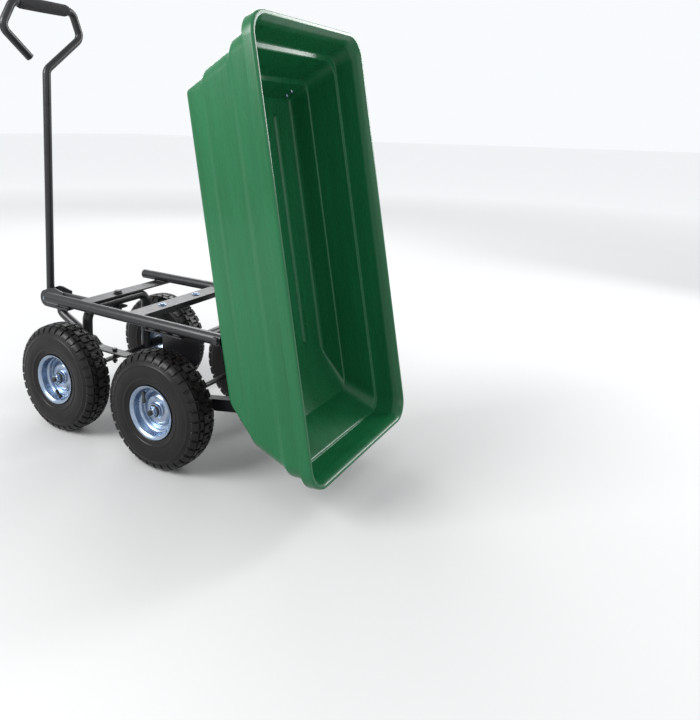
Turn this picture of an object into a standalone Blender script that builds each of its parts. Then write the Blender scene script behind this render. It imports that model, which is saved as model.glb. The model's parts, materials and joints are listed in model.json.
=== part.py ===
"""Four-wheel garden tipping cart: moulded tub, tubular frame, steered front fork and pull handle.

+X points forward (towards the pull handle), +Y to the cart's left, +Z up, metres, floor at z = 0.
The tub stands tipped on its rear hinge, the handle stands upright and the wheels point ahead.
"""
import math

import bmesh
import bpy
from mathutils import Matrix, Vector

# ---- running gear -------------------------------------------------------------------------
AXLE_Z = 0.130
FRONT_AXLE_X = 0.208
REAR_AXLE_X = -0.098
WHEEL_Y = 0.180
AXLE_R = 0.006
AXLE_HALF = 0.2165
TYRE_SEGMENTS = 36
RIM_SEGMENTS = 22
HUB_R = 0.0160
HUB_SLEEVE_R = 0.0115
HUB_INNER = -0.0585
HUB_OUTER = 0.0225
RUNNING_FIT = 0.0004
NUT_R = 0.0105
NUT_LENGTH = 0.0085
NUT_WASHER_R = 0.0118
NUT_WASHER_THICK = 0.0016
VALVE_BASE_R = 0.0464
VALVE_BASE_Y = 0.0215
VALVE_LEAN = 0.55
REAR_VALVE_DEG = 51.0
FRONT_VALVE_DEG = -102.0

# ---- frame --------------------------------------------------------------------------------
TUBE_R = 0.0125
TUBE_BORE_R = 0.0107
TUBE_SIDES = 12
RAIL_Y = 0.171
RAIL_Z = 0.312
RAIL_FRONT_X = 0.2725
RAIL_REAR_X = -0.2560
FORK_LEG_Y = 0.105
FORK_BEND_R = 0.032
FRONT_FORK_TOP_Z = 0.2812
REAR_FORK_TOP_Z = 0.2500
FORK_FOOT_Z = 0.1120
CROSS_FLAT_TOP_Z = 0.2992
CROSS_FLAT_THICK = 0.0048
CROSS_FLAT_HALF_Y = 0.1830
CROSS_FLAT_REAR = 0.018
CROSS_FLAT_FRONT = 0.025
HANGER_SHEET = 0.0030
HANGER_REAR = 0.060
HANGER_FRONT = 0.046
HANGER_LOW_Z = 0.1960
HANGER_CORNER_Z = 0.2300
HANGER_CORNER_X = 0.030
MID_CROSS_X = 0.0000
MID_CROSS_TOP_Z = 0.3170
MID_CROSS_WIDTH = 0.0460
MID_CROSS_DEPTH = 0.0140
MID_CROSS_SHEET = 0.003
CROSS_BOLT_Y = 0.062
CROSS_BOLT_R = 0.0040
CROSS_WASHER_R = 0.0095
GAP = 0.0003

# ---- tub hinge ----------------------------------------------------------------------------
HINGE_X = -0.2485
HINGE_Z = 0.3120
TIP_DEG = 79.2
HINGE_BOLT_R = 0.004
SMALL_HEAD_R = 0.0075
SMALL_HEAD_H = 0.0052

# ---- tub, in its level position, measured from the hinge axis ------------------------------
# each ring: height, front end, rear end, half width, corner radius
TUB_OUTER = [
    (0.0158, 0.4890, -0.1120, 0.1860, 0.0080),
    (0.0185, 0.4940, -0.1225, 0.1905, 0.0110),
    (0.0240, 0.4965, -0.1360, 0.1925, 0.0140),
    (0.0560, 0.5120, -0.1930, 0.1940, 0.0240),
    (0.0660, 0.5270, -0.2130, 0.1975, 0.0340),
    (0.1270, 0.5500, -0.2500, 0.1995, 0.0360),
    (0.1390, 0.5650, -0.2610, 0.2045, 0.0380),
    (0.1800, 0.5785, -0.2650, 0.2070, 0.0400),
]
TUB_RIM = [
    (0.1890, 0.5850, -0.2690, 0.2110, 0.0410),
    (0.1955, 0.5895, -0.2705, 0.2145, 0.0430),
    (0.1960, 0.5920, -0.2712, 0.2170, 0.0450),
    (0.1790, 0.5935, -0.2720, 0.2180, 0.0460),
    (0.1785, 0.5965, -0.2740, 0.2205, 0.0480),
    (0.1985, 0.5990, -0.2750, 0.2210, 0.0490),
    (0.2030, 0.5970, -0.2740, 0.2192, 0.0480),
    (0.2030, 0.5930, -0.2712, 0.2158, 0.0450),
    (0.1995, 0.5880, -0.2675, 0.2115, 0.0420),
]
TUB_WALL = 0.0042
CORNER_STEPS = 5
RIB_COUNT = 5
RIB_PITCH = 0.0600
RIB_HALF_WIDTH = 0.0130
RIB_HEIGHT = 0.0040
BAR_INNER_Y = 0.1250
BAR_OUTER_Y = 0.1550
BAR_TOP = 0.0153
BAR_THICK = 0.0050
LEG_FRONT_A = -0.1450
LEG_REAR_A = -0.1710
LEG_INNER_Y = 0.0930
LEG_OUTER_Y = 0.1165
LEG_TIP_B = -0.1540
FOOT_TIP_B = -0.1670
BOLT_Y = 0.1550
BOLT_HEAD_R = 0.0056
BOLT_HEIGHTS = (0.0342, 0.0482)
BOLT_TIPS = (0.5140, 0.5300)
LATCH_PIVOT_A = 0.5140
LATCH_PIVOT_B = 0.0060
LATCH_HALF_Y = 0.0045
LATCH_OPEN_DEG = 20.0

# ---- steering and handle ------------------------------------------------------------------
KINGPIN_R = 0.006
DRAWBAR_Z = 0.2550
DRAWBAR_PLATE_Z = 0.2655
STRUT_TOP_BACK = 0.0455
STRUT_BOLT_X = 0.014
STRUT_BOLT_R = 0.0040
PIVOT_X = 0.4745
PIVOT_Z = 0.2450
PIVOT_BOLT_R = 0.004
HANDLE_LEAN_DEG = -1.0
HANDLE_R = 0.0110
HANDLE_BORE_R = 0.0094
HANDLE_SIDES = 12
HANDLE_BEND_R = 0.024
GRIP_R = 0.0160
GRIP_HALF = 0.0780
GRIP_MIDDLE_Y = 0.007
GRIP_HEIGHT = 0.784
BRACKET_SHEET = 0.0040
BRACKET_NOSE_R = 0.0240


# ---- materials ----------------------------------------------------------------------------
def material(name, colour, roughness, metallic):
    mat = bpy.data.materials.get(name)
    if mat is None:
        mat = bpy.data.materials.new(name)
        mat.use_nodes = True
        shader = mat.node_tree.nodes["Principled BSDF"]
        shader.inputs["Base Color"].default_value = (*colour, 1.0)
        shader.inputs["Roughness"].default_value = roughness
        shader.inputs["Metallic"].default_value = metallic
    return mat


def green_plastic():
    return material("green_plastic", (0.045, 0.230, 0.130), 0.42, 0.0)


def black_paint():
    return material("black_paint", (0.025, 0.026, 0.028), 0.35, 0.0)


def zinc_steel():
    return material("zinc_steel", (0.620, 0.650, 0.680), 0.28, 1.0)


def tyre_rubber():
    return material("tyre_rubber", (0.028, 0.026, 0.025), 0.75, 0.0)


def soft_rubber():
    return material("soft_rubber", (0.022, 0.022, 0.022), 0.80, 0.0)


def black_plastic():
    return material("black_plastic", (0.020, 0.020, 0.021), 0.50, 0.0)


def grip_foam():
    return material("grip_foam", (0.022, 0.022, 0.023), 0.90, 0.0)


# ---- mesh helpers -------------------------------------------------------------------------
def make_object(name, vertices, faces, mat):
    mesh = bpy.data.meshes.new(name)
    mesh.from_pydata([tuple(v) for v in vertices], [], faces)
    bm = bmesh.new()
    bm.from_mesh(mesh)
    bmesh.ops.recalc_face_normals(bm, faces=bm.faces)
    bm.to_mesh(mesh)
    bm.free()
    mesh.materials.append(mat)
    obj = bpy.data.objects.new(name, mesh)
    bpy.context.scene.collection.objects.link(obj)
    return obj


def smooth(obj, angle_deg=35.0):
    obj.data.shade_smooth()
    obj.data.set_sharp_from_angle(angle=math.radians(angle_deg))


def loft(name, rings, mat, closed=False):
    """Skin through rings of equal point count; ends are capped unless the loft is closed."""
    count = len(rings[0])
    vertices = [point for ring in rings for point in ring]
    faces = []
    spans = len(rings) if closed else len(rings) - 1
    for i in range(spans):
        a = i * count
        b = ((i + 1) % len(rings)) * count
        for j in range(count):
            k = (j + 1) % count
            faces.append((a + j, a + k, b + k, b + j))
    if not closed:
        faces.append(tuple(range(count)))
        faces.append(tuple(range(len(vertices) - count, len(vertices))))
    return make_object(name, vertices, faces, mat)


def axis_frame(axis):
    """Two unit vectors square to the axis."""
    axis = Vector(axis).normalized()
    helper = Vector((0, 0, 1)) if abs(axis.z) < 0.9 else Vector((1, 0, 0))
    side = helper.cross(axis).normalized()
    return axis, side, axis.cross(side)


def circle(centre, axis, radius, count, start=0.0):
    _, side, up = axis_frame(axis)
    points = []
    for i in range(count):
        angle = start + math.tau * i / count
        points.append(Vector(centre) + side * radius * math.cos(angle) + up * radius * math.sin(angle))
    return points


def hexagon(centre, axis, radius):
    """Twelve points round a hexagon, corners and flat middles in turn."""
    _, side, up = axis_frame(axis)
    points = []
    for i in range(12):
        reach = radius if i % 2 == 0 else radius * math.cos(math.pi / 6)
        angle = math.tau * i / 12
        points.append(Vector(centre) + side * reach * math.cos(angle) + up * reach * math.sin(angle))
    return points


def turned(name, start, axis, steps, mat):
    """A turned pin: steps are (distance along the axis, radius, 'round' or 'hex')."""
    direction = Vector(axis).normalized()
    rings = []
    for distance, radius, shape in steps:
        centre = Vector(start) + direction * distance
        if shape == "hex":
            rings.append(hexagon(centre, axis, radius))
        else:
            rings.append(circle(centre, axis, radius, 12))
    obj = loft(name, rings, mat)
    smooth(obj)
    return obj


def revolve(name, profile, segments, mat):
    """Closed (radius, offset) outline turned round the Y axis."""
    rings = []
    for i in range(segments):
        angle = math.tau * i / segments
        rings.append([(r * math.sin(angle), y, -r * math.cos(angle)) for r, y in profile])
    obj = loft(name, rings, mat, closed=True)
    smooth(obj)
    return obj


def prism_y(name, outline, y0, y1, mat):
    """Outline of (x, z) points pushed out between two y values."""
    return loft(name, [[(x, y0, z) for x, z in outline], [(x, y1, z) for x, z in outline]], mat)


def prism_z(name, outline, z0, z1, mat):
    return loft(name, [[(x, y, z0) for x, y in outline], [(x, y, z1) for x, y in outline]], mat)


def box(name, low, high, mat):
    outline = [(low[0], low[1]), (high[0], low[1]), (high[0], high[1]), (low[0], high[1])]
    return prism_z(name, outline, low[2], high[2], mat)


def path_rings(points, radius, sides):
    """Circles square to a path that stays in one plane."""
    points = [Vector(p) for p in points]
    normal = (points[1] - points[0]).cross(points[-1] - points[0])
    for i in range(2, len(points)):
        if normal.length > 1e-6:
            break
        normal = (points[1] - points[0]).cross(points[i] - points[0])
    if normal.length < 1e-6:
        normal = axis_frame(points[1] - points[0])[1]
    normal.normalize()
    rings = []
    for i, point in enumerate(points):
        before = points[max(i - 1, 0)]
        after = points[min(i + 1, len(points) - 1)]
        tangent = (after - before).normalized()
        if 0 < i < len(points) - 1:
            tangent = ((point - before).normalized() + (after - point).normalized()).normalized()
        side = tangent.cross(normal).normalized()
        ring = []
        for j in range(sides):
            angle = math.tau * j / sides
            ring.append(point + side * radius * math.cos(angle) + normal * radius * math.sin(angle))
        rings.append(ring)
    return rings


def hollow_tube(name, points, radius, bore, sides, mat):
    outer = path_rings(points, radius, sides)
    inner = path_rings(points, bore, sides)
    obj = loft(name, outer + inner[::-1], mat, closed=True)
    smooth(obj)
    return obj


def rounded_path(corners, radius, steps):
    """Corner points joined by straight runs and arcs of one radius."""
    corners = [Vector(c) for c in corners]
    points = [corners[0]]
    for i in range(1, len(corners) - 1):
        back = (corners[i - 1] - corners[i]).normalized()
        ahead = (corners[i + 1] - corners[i]).normalized()
        half = back.angle(ahead) / 2
        reach = radius / math.tan(half)
        centre = corners[i] + (back + ahead).normalized() * radius / math.sin(half)
        start = corners[i] + back * reach - centre
        end = corners[i] + ahead * reach - centre
        turn = start.angle(end)
        for k in range(steps + 1):
            part = k / steps
            mix = start * math.sin((1 - part) * turn) + end * math.sin(part * turn)
            points.append(centre + mix / math.sin(turn))
    points.append(corners[-1])
    return points


def combine(obj, other, operation):
    """Apply an exact Boolean of other to obj and drop other."""
    modifier = obj.modifiers.new(operation.lower(), "BOOLEAN")
    modifier.object = other
    modifier.operation = operation
    modifier.solver = "EXACT"
    depsgraph = bpy.context.evaluated_depsgraph_get()
    depsgraph.update()
    mesh = bpy.data.meshes.new_from_object(obj.evaluated_get(depsgraph))
    obj.modifiers.clear()
    old = obj.data
    mesh.name = old.name + "_cut"
    obj.data = mesh
    bpy.data.meshes.remove(old)
    cutter_mesh = other.data
    bpy.data.objects.remove(other)
    bpy.data.meshes.remove(cutter_mesh)
    return obj


def drill(obj, centre, axis, radius, length, sides=12):
    direction = Vector(axis).normalized() * length / 2
    ends = [Vector(centre) - direction, Vector(centre) + direction]
    cutter = loft("cutter", [circle(p, axis, radius, sides) for p in ends], obj.data.materials[0])
    return combine(obj, cutter, "DIFFERENCE")


def shifted(obj, parent, location=(0.0, 0.0, 0.0)):
    obj.parent = parent
    obj.location = location
    return obj


# ---- frame --------------------------------------------------------------------------------
def build_rail(side, sign):
    start = (RAIL_FRONT_X, sign * RAIL_Y, RAIL_Z)
    end = (RAIL_REAR_X, sign * RAIL_Y, RAIL_Z)
    rail = hollow_tube("rail_" + side, [start, end], TUBE_R, TUBE_BORE_R, TUBE_SIDES, black_paint())
    drill(rail, (HINGE_X, sign * RAIL_Y, HINGE_Z), (0, 1, 0), HINGE_BOLT_R + GAP, 0.04)
    smooth(rail)
    plug_depth = 0.014
    plug_r = TUBE_BORE_R - GAP
    steps = [
        (0.0, plug_r, "round"),
        (plug_depth, plug_r, "round"),
        (plug_depth, TUBE_R, "round"),
        (plug_depth + 0.0025, TUBE_R, "round"),
        (plug_depth + 0.0045, TUBE_R - 0.003, "round"),
    ]
    base_x = RAIL_FRONT_X - plug_depth + GAP
    turned("rail_cap_" + side, (base_x, sign * RAIL_Y, RAIL_Z), (1, 0, 0), steps, black_plastic())


def build_front_cross():
    """Flat bar under both rails that carries the kingpin."""
    x0 = FRONT_AXLE_X - CROSS_FLAT_REAR
    x1 = FRONT_AXLE_X + CROSS_FLAT_FRONT
    outline = [
        (x0, -CROSS_FLAT_HALF_Y),
        (x1, -CROSS_FLAT_HALF_Y),
        (x1, CROSS_FLAT_HALF_Y),
        (x0, CROSS_FLAT_HALF_Y),
    ]
    low = CROSS_FLAT_TOP_Z - CROSS_FLAT_THICK
    flat = prism_z("front_cross_bar", outline, low, CROSS_FLAT_TOP_Z, black_paint())
    drill(flat, (FRONT_AXLE_X, 0, low), (0, 0, 1), KINGPIN_R + GAP, 0.02)


def build_hanger(side, sign):
    """Angle plate under a rail: a flange against the rail and a side plate that holds the rear fork."""
    inner = FORK_LEG_Y + TUBE_R + GAP
    x0 = REAR_AXLE_X - HANGER_REAR
    x1 = REAR_AXLE_X + HANGER_FRONT
    flange_low = CROSS_FLAT_TOP_Z - HANGER_SHEET
    outline = [
        (x0, CROSS_FLAT_TOP_Z),
        (x1, CROSS_FLAT_TOP_Z),
        (x1, HANGER_CORNER_Z),
        (x1 - HANGER_CORNER_X, HANGER_LOW_Z),
        (x0 + HANGER_CORNER_X, HANGER_LOW_Z),
        (x0, HANGER_CORNER_Z),
    ]
    y0, y1 = sorted((sign * inner, sign * (inner + HANGER_SHEET)))
    plate = prism_y("rear_hanger_" + side, outline, y0, y1, black_paint())
    f0, f1 = sorted((sign * (inner + HANGER_SHEET / 2), sign * CROSS_FLAT_HALF_Y))
    flange = box("flange", (x0, f0, flange_low), (x1, f1, CROSS_FLAT_TOP_Z), black_paint())
    combine(plate, flange, "UNION")


def build_mid_cross():
    half = MID_CROSS_WIDTH / 2
    reach = RAIL_Y - TUBE_R - GAP
    sheet = MID_CROSS_SHEET
    low = MID_CROSS_TOP_Z - MID_CROSS_DEPTH
    section = [
        (-half, low),
        (-half, MID_CROSS_TOP_Z),
        (half, MID_CROSS_TOP_Z),
        (half, low),
        (half - sheet, low),
        (half - sheet, MID_CROSS_TOP_Z - sheet),
        (-half + sheet, MID_CROSS_TOP_Z - sheet),
        (-half + sheet, low),
    ]
    outline = [(MID_CROSS_X + x, z) for x, z in section]
    channel = prism_y("mid_cross_channel", outline, -reach, reach, black_paint())
    for side, sign in (("left", 1), ("right", -1)):
        spot = (MID_CROSS_X, sign * CROSS_BOLT_Y, MID_CROSS_TOP_Z)
        drill(channel, spot, (0, 0, 1), CROSS_BOLT_R + GAP, 0.02)
        shank = 0.0172
        steps = [
            (0.0, CROSS_BOLT_R - 0.0004, "round"),
            (0.0032, CROSS_BOLT_R, "round"),
            (shank, CROSS_BOLT_R, "round"),
            (shank, CROSS_WASHER_R, "round"),
            (shank + 0.0015, CROSS_WASHER_R, "round"),
            (shank + 0.0015, 0.0068, "hex"),
            (shank + 0.0046, 0.0066, "hex"),
        ]
        base = (MID_CROSS_X, sign * CROSS_BOLT_Y, MID_CROSS_TOP_Z - shank + GAP)
        turned("cross_bolt_" + side, base, (0, 0, 1), steps, zinc_steel())


def build_fork(name, x, top_z):
    corners = [
        (x, FORK_LEG_Y, FORK_FOOT_Z),
        (x, FORK_LEG_Y, top_z),
        (x, -FORK_LEG_Y, top_z),
        (x, -FORK_LEG_Y, FORK_FOOT_Z),
    ]
    path = rounded_path(corners, FORK_BEND_R, 5)
    fork = hollow_tube(name, path, TUBE_R, TUBE_BORE_R, TUBE_SIDES, black_paint())
    drill(fork, (x, 0, AXLE_Z), (0, 1, 0), AXLE_R + GAP, 0.4)
    return fork


def build_axle(name, x, nut_name):
    axle_steps = [
        (0.0, AXLE_R - 0.0012, "round"),
        (0.0012, AXLE_R, "round"),
        (2 * AXLE_HALF - 0.0012, AXLE_R, "round"),
        (2 * AXLE_HALF, AXLE_R - 0.0012, "round"),
    ]
    turned(name, (x, -AXLE_HALF, AXLE_Z), (0, 1, 0), axle_steps, black_paint())
    for side, sign in (("left", 1), ("right", -1)):
        start = sign * (WHEEL_Y + HUB_OUTER + GAP)
        nut = turned(nut_name + side, (x, start, AXLE_Z), (0, sign, 0), [
            (0.0, NUT_WASHER_R, "round"),
            (NUT_WASHER_THICK, NUT_WASHER_R, "round"),
            (NUT_WASHER_THICK, NUT_R, "hex"),
            (NUT_LENGTH, NUT_R * 0.94, "hex"),
        ], zinc_steel())
        drill(nut, (x, start, AXLE_Z), (0, 1, 0), AXLE_R + GAP, 0.04)
        smooth(nut)


def build_kingpin():
    x = FRONT_AXLE_X
    nut_low = DRAWBAR_PLATE_Z - 0.0025 - GAP - 0.0100
    head_low = CROSS_FLAT_TOP_Z + GAP
    length = head_low - nut_low + 0.004
    turned("kingpin_bolt", (x, 0, head_low + 0.0075), (0, 0, -1), [
        (0.0, 0.0095, "hex"),
        (0.0060, 0.0100, "hex"),
        (0.0060, 0.0125, "round"),
        (0.0075, 0.0125, "round"),
        (0.0075, KINGPIN_R, "round"),
        (0.0075 + length, KINGPIN_R, "round"),
    ], black_paint())
    nut = turned("kingpin_nut", (x, 0, nut_low), (0, 0, 1), [
        (0.0, 0.0096, "hex"),
        (0.0100, 0.0100, "hex"),
    ], black_paint())
    drill(nut, (x, 0, nut_low), (0, 0, 1), KINGPIN_R + GAP, 0.04)


def build_hinge_bolts():
    for side, sign in (("left", 1), ("right", -1)):
        start = (HINGE_X, sign * (RAIL_Y + TUBE_R + 0.0068), HINGE_Z)
        turned("hinge_bolt_" + side, start, (0, -sign, 0), [
            (0.0, SMALL_HEAD_R - GAP, "hex"),
            (SMALL_HEAD_H, SMALL_HEAD_R, "hex"),
            (0.0052, 0.0095, "round"),
            (0.0066, 0.0095, "round"),
            (0.0066, HINGE_BOLT_R, "round"),
            (0.0520, HINGE_BOLT_R, "round"),
        ], black_paint())


def build_frame():
    build_rail("left", 1)
    build_rail("right", -1)
    build_front_cross()
    build_hanger("left", 1)
    build_hanger("right", -1)
    build_mid_cross()
    rear_fork = build_fork("rear_fork", REAR_AXLE_X, REAR_FORK_TOP_Z)
    smooth(rear_fork)
    build_axle("rear_axle", REAR_AXLE_X, "rear_axle_nut_")
    build_kingpin()
    build_hinge_bolts()


# ---- steering head ------------------------------------------------------------------------
def flattened_ring(x, z, half_width, half_height, sides=16):
    """Section across a tube that is pressed towards a flat plate."""
    power = 1.0 if half_width <= TUBE_R + 1e-6 else 0.45
    ring = []
    for i in range(sides):
        angle = math.tau * i / sides
        c = math.cos(angle)
        s = math.sin(angle)
        y = math.copysign(abs(c) ** power, c) * half_width
        up = math.copysign(abs(s) ** power, s) * half_height
        ring.append((x, y, z + up))
    return ring


def build_drawbar():
    plate_half = 0.0025
    plate_y = 0.0185
    x = FRONT_AXLE_X
    rings = [
        flattened_ring(x - 0.0200, DRAWBAR_PLATE_Z, plate_y - 0.004, plate_half),
        flattened_ring(x - 0.0160, DRAWBAR_PLATE_Z, plate_y, plate_half),
        flattened_ring(x + 0.0220, DRAWBAR_PLATE_Z, plate_y, plate_half),
        flattened_ring(x + 0.0340, DRAWBAR_PLATE_Z - 0.004, plate_y - 0.003, 0.0065),
        flattened_ring(x + 0.0480, DRAWBAR_Z, TUBE_R, TUBE_R),
        flattened_ring(PIVOT_X - 0.0125, DRAWBAR_Z, TUBE_R, TUBE_R),
    ]
    bar = loft("drawbar", rings, black_paint())
    drill(bar, (x, 0, DRAWBAR_PLATE_Z), (0, 0, 1), KINGPIN_R + GAP, 0.02)
    smooth(bar)


def build_lower_strut():
    plate_half = 0.0025
    plate_y = 0.0180
    x = FRONT_AXLE_X
    z = AXLE_Z + AXLE_R + GAP + plate_half
    top_x = PIVOT_X - STRUT_TOP_BACK
    slope = [
        (top_x - 0.0130, 0.2020),
        (x + 0.0960, 0.1520),
    ]
    rings = [
        flattened_ring(x - 0.0400, z, plate_y - 0.004, plate_half),
        flattened_ring(x - 0.0360, z, plate_y, plate_half),
        flattened_ring(x + 0.0700, z, plate_y, plate_half),
        flattened_ring(x + 0.0820, z + 0.0030, plate_y - 0.003, 0.0065),
    ]
    for px, pz in slope[::-1]:
        rings.append(tilted_ring(px, pz, math.radians(62)))
    rings.append(tilted_ring(top_x, 0.2100, math.radians(25)))
    rings.append(tilted_ring(top_x, PIVOT_Z - 0.0247 - GAP, 0.0))
    strut = loft("lower_strut", rings, black_paint())
    drill(strut, (x + STRUT_BOLT_X, 0, z), (0, 0, 1), STRUT_BOLT_R + GAP, 0.02)
    smooth(strut)
    turned("strut_bolt", (x + STRUT_BOLT_X, 0, z + plate_half + GAP + SMALL_HEAD_H), (0, 0, -1), [
        (0.0, SMALL_HEAD_R - GAP, "hex"),
        (SMALL_HEAD_H, SMALL_HEAD_R, "hex"),
        (SMALL_HEAD_H, STRUT_BOLT_R, "round"),
        (0.0300, STRUT_BOLT_R, "round"),
        (0.0300, 0.0072, "hex"),
        (0.0360, 0.0072, "hex"),
        (0.0360, 0.0038, "round"),
        (0.0400, 0.0036, "round"),
    ], black_paint())


def tilted_ring(x, z, tilt, sides=16):
    """Circle round a tube whose axis leans by tilt from vertical towards the front."""
    ring = []
    for i in range(sides):
        angle = math.tau * i / sides
        across = math.sin(angle) * TUBE_R
        ring.append((x - across * math.cos(tilt), math.cos(angle) * TUBE_R, z + across * math.sin(tilt)))
    return ring


def arc(centre, radius, start_deg, end_deg, steps):
    points = []
    for i in range(steps + 1):
        angle = math.radians(start_deg + (end_deg - start_deg) * i / steps)
        points.append((centre[0] + radius * math.cos(angle), centre[1] + radius * math.sin(angle)))
    return points


def build_handle_bracket():
    cheek_in = TUBE_R + GAP
    cheek_out = cheek_in + BRACKET_SHEET
    nose = BRACKET_NOSE_R
    outline = arc((PIVOT_X, PIVOT_Z), nose, -90, 55, 8)
    outline += [
        (PIVOT_X - 0.020, PIVOT_Z + 0.0325),
        (PIVOT_X - 0.036, PIVOT_Z + 0.0330),
        (PIVOT_X - 0.072, PIVOT_Z + 0.0260),
        (PIVOT_X - 0.072, PIVOT_Z - 0.0020),
        (PIVOT_X - 0.060, PIVOT_Z - nose),
    ]
    left = prism_y("handle_bracket", outline, cheek_in, cheek_out, black_paint())
    right = prism_y("cheek", outline, -cheek_out, -cheek_in, black_paint())
    floor = box(
        "web",
        (PIVOT_X - 0.060, -cheek_out, PIVOT_Z - nose),
        (PIVOT_X - 0.018, cheek_out, PIVOT_Z - nose + BRACKET_SHEET),
        black_paint(),
    )
    combine(left, right, "UNION")
    combine(left, floor, "UNION")
    drill(left, (PIVOT_X, 0, PIVOT_Z), (0, 1, 0), PIVOT_BOLT_R + GAP, 0.06)
    start = (PIVOT_X, cheek_out + GAP + SMALL_HEAD_H, PIVOT_Z)
    turned("handle_bolt", start, (0, -1, 0), [
        (0.0, SMALL_HEAD_R - GAP, "hex"),
        (SMALL_HEAD_H, SMALL_HEAD_R, "hex"),
        (SMALL_HEAD_H, PIVOT_BOLT_R, "round"),
        (0.0460, PIVOT_BOLT_R, "round"),
        (0.0460, PIVOT_BOLT_R - 0.0008, "round"),
        (0.0480, PIVOT_BOLT_R - 0.0008, "round"),
    ], zinc_steel())
    nut = turned("handle_bolt_nut", (PIVOT_X, -cheek_out - GAP, PIVOT_Z), (0, -1, 0), [
        (0.0, 0.0075, "hex"),
        (0.0062, 0.0072, "hex"),
    ], zinc_steel())
    drill(nut, (PIVOT_X, -cheek_out, PIVOT_Z), (0, 1, 0), PIVOT_BOLT_R + GAP, 0.03)


def build_steering():
    fork = build_fork("front_fork", FRONT_AXLE_X, FRONT_FORK_TOP_Z)
    drill(fork, (FRONT_AXLE_X, 0, FRONT_FORK_TOP_Z), (0, 0, 1), KINGPIN_R + GAP, 0.04)
    smooth(fork)
    build_axle("front_axle", FRONT_AXLE_X, "front_axle_nut_")
    build_drawbar()
    build_lower_strut()
    build_handle_bracket()


# ---- handle, drawn upright from its pivot -------------------------------------------------
def build_handle():
    pivot = bpy.data.objects.new("handle_pivot", None)
    bpy.context.scene.collection.objects.link(pivot)
    pivot.location = (PIVOT_X, 0, PIVOT_Z)
    pivot.rotation_euler = (0, math.radians(HANDLE_LEAN_DEG), 0)
    corners = [
        (0, 0, 0.004),
        (0, 0, 0.624),
        (0, -0.119, 0.718),
        (0, -0.090, GRIP_HEIGHT),
        (0, 0.102, GRIP_HEIGHT),
        (0, 0.136, 0.720),
        (0, 0.052, 0.652),
    ]
    path = rounded_path(corners, HANDLE_BEND_R, 4)
    tube = hollow_tube("handle_tube", path, HANDLE_R, HANDLE_BORE_R, HANDLE_SIDES, black_paint())
    eye = loft("eye", [circle((0, y, 0), (0, 1, 0), 0.0112, 16) for y in (-0.0112, 0.0112)], black_paint())
    combine(tube, eye, "UNION")
    drill(tube, (0, 0, 0), (0, 1, 0), PIVOT_BOLT_R + GAP, 0.05)
    smooth(tube)
    shifted(tube, pivot)
    half = GRIP_HALF
    bore = HANDLE_R + GAP
    profile = [(bore, -half), (bore, half), (GRIP_R - 0.002, half), (GRIP_R, half - 0.003)]
    profile += [(GRIP_R, -half + 0.003), (GRIP_R - 0.002, -half)]
    grip = revolve("handle_grip", profile, 20, grip_foam())
    shifted(grip, pivot, (0, GRIP_MIDDLE_Y, GRIP_HEIGHT))


# ---- wheels -------------------------------------------------------------------------------
def mirrored(half_profile):
    """Half outline plus its mirror image across the wheel's middle plane."""
    return half_profile + [(r, -y) for r, y in half_profile[::-1]]


def tyre_profile():
    outside = [
        (0.0540, 0.0262),
        (0.0610, 0.0300),
        (0.0780, 0.0374),
        (0.1020, 0.0380),
        (0.1215, 0.0310),
        (0.1300, 0.0150),
    ]
    inside = [(0.0540, 0.0190), (0.1000, 0.0300), (0.1215, 0.0130)]
    return mirrored(outside) + mirrored(inside)[::-1]


def rim_profile():
    """Pressed rim: flange, bead seat, well and a centre disc, one sheet thick."""
    tyre_side = [(0.0595, 0.0310), (0.0535, 0.0275), (0.0515, 0.0120), (0.0475, 0.0090)]
    hub_side = [(0.0450, 0.0105), (0.0492, 0.0135), (0.0512, 0.0292), (0.0595, 0.0332)]
    disc = [(0.0450, 0.0030), (0.0380, 0.0030), (0.0290, 0.0110), (0.0166, 0.0110)]
    disc_back = [(0.0166, 0.0085), (0.0280, 0.0085), (0.0370, 0.0005), (0.0450, 0.0005)]
    outline = tyre_side + [(r, -y) for r, y in tyre_side[::-1]]
    outline += [(r, -y) for r, y in hub_side[::-1]]
    outline += disc_back[::-1] + disc[::-1] + hub_side
    return outline


def hub_profile():
    bore = AXLE_R + RUNNING_FIT
    return [
        (bore, HUB_INNER),
        (HUB_SLEEVE_R, HUB_INNER),
        (0.0130, 0.0060),
        (HUB_R, 0.0060),
        (HUB_R, 0.0140),
        (0.0145, 0.0180),
        (0.0125, HUB_OUTER),
        (bore, HUB_OUTER),
    ]


def build_wheel(corner, x, sign):
    centre = (x, sign * WHEEL_Y, AXLE_Z)
    parts = [
        revolve("tyre_" + corner, [(r, sign * y) for r, y in tyre_profile()], TYRE_SEGMENTS, tyre_rubber()),
        revolve("rim_" + corner, [(r, sign * y) for r, y in rim_profile()], RIM_SEGMENTS, zinc_steel()),
        revolve("hub_" + corner, [(r, sign * y) for r, y in hub_profile()], 16, black_plastic()),
    ]
    angle = math.radians(REAR_VALVE_DEG if corner.startswith("rear") else FRONT_VALVE_DEG)
    inward = Vector((-math.cos(angle), 0, -math.sin(angle)))
    base = Vector((0, sign * VALVE_BASE_Y, 0)) - inward * VALVE_BASE_R
    lean = (inward + Vector((0, sign * VALVE_LEAN, 0))).normalized()
    valve = turned("valve_" + corner, base, lean, [
        (0.0, 0.0046, "round"),
        (0.0060, 0.0042, "round"),
        (0.0090, 0.0030, "round"),
        (0.0180, 0.0030, "round"),
        (0.0180, 0.0037, "round"),
        (0.0240, 0.0034, "round"),
    ], soft_rubber())
    parts.append(valve)
    for part in parts:
        part.location = centre


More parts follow.
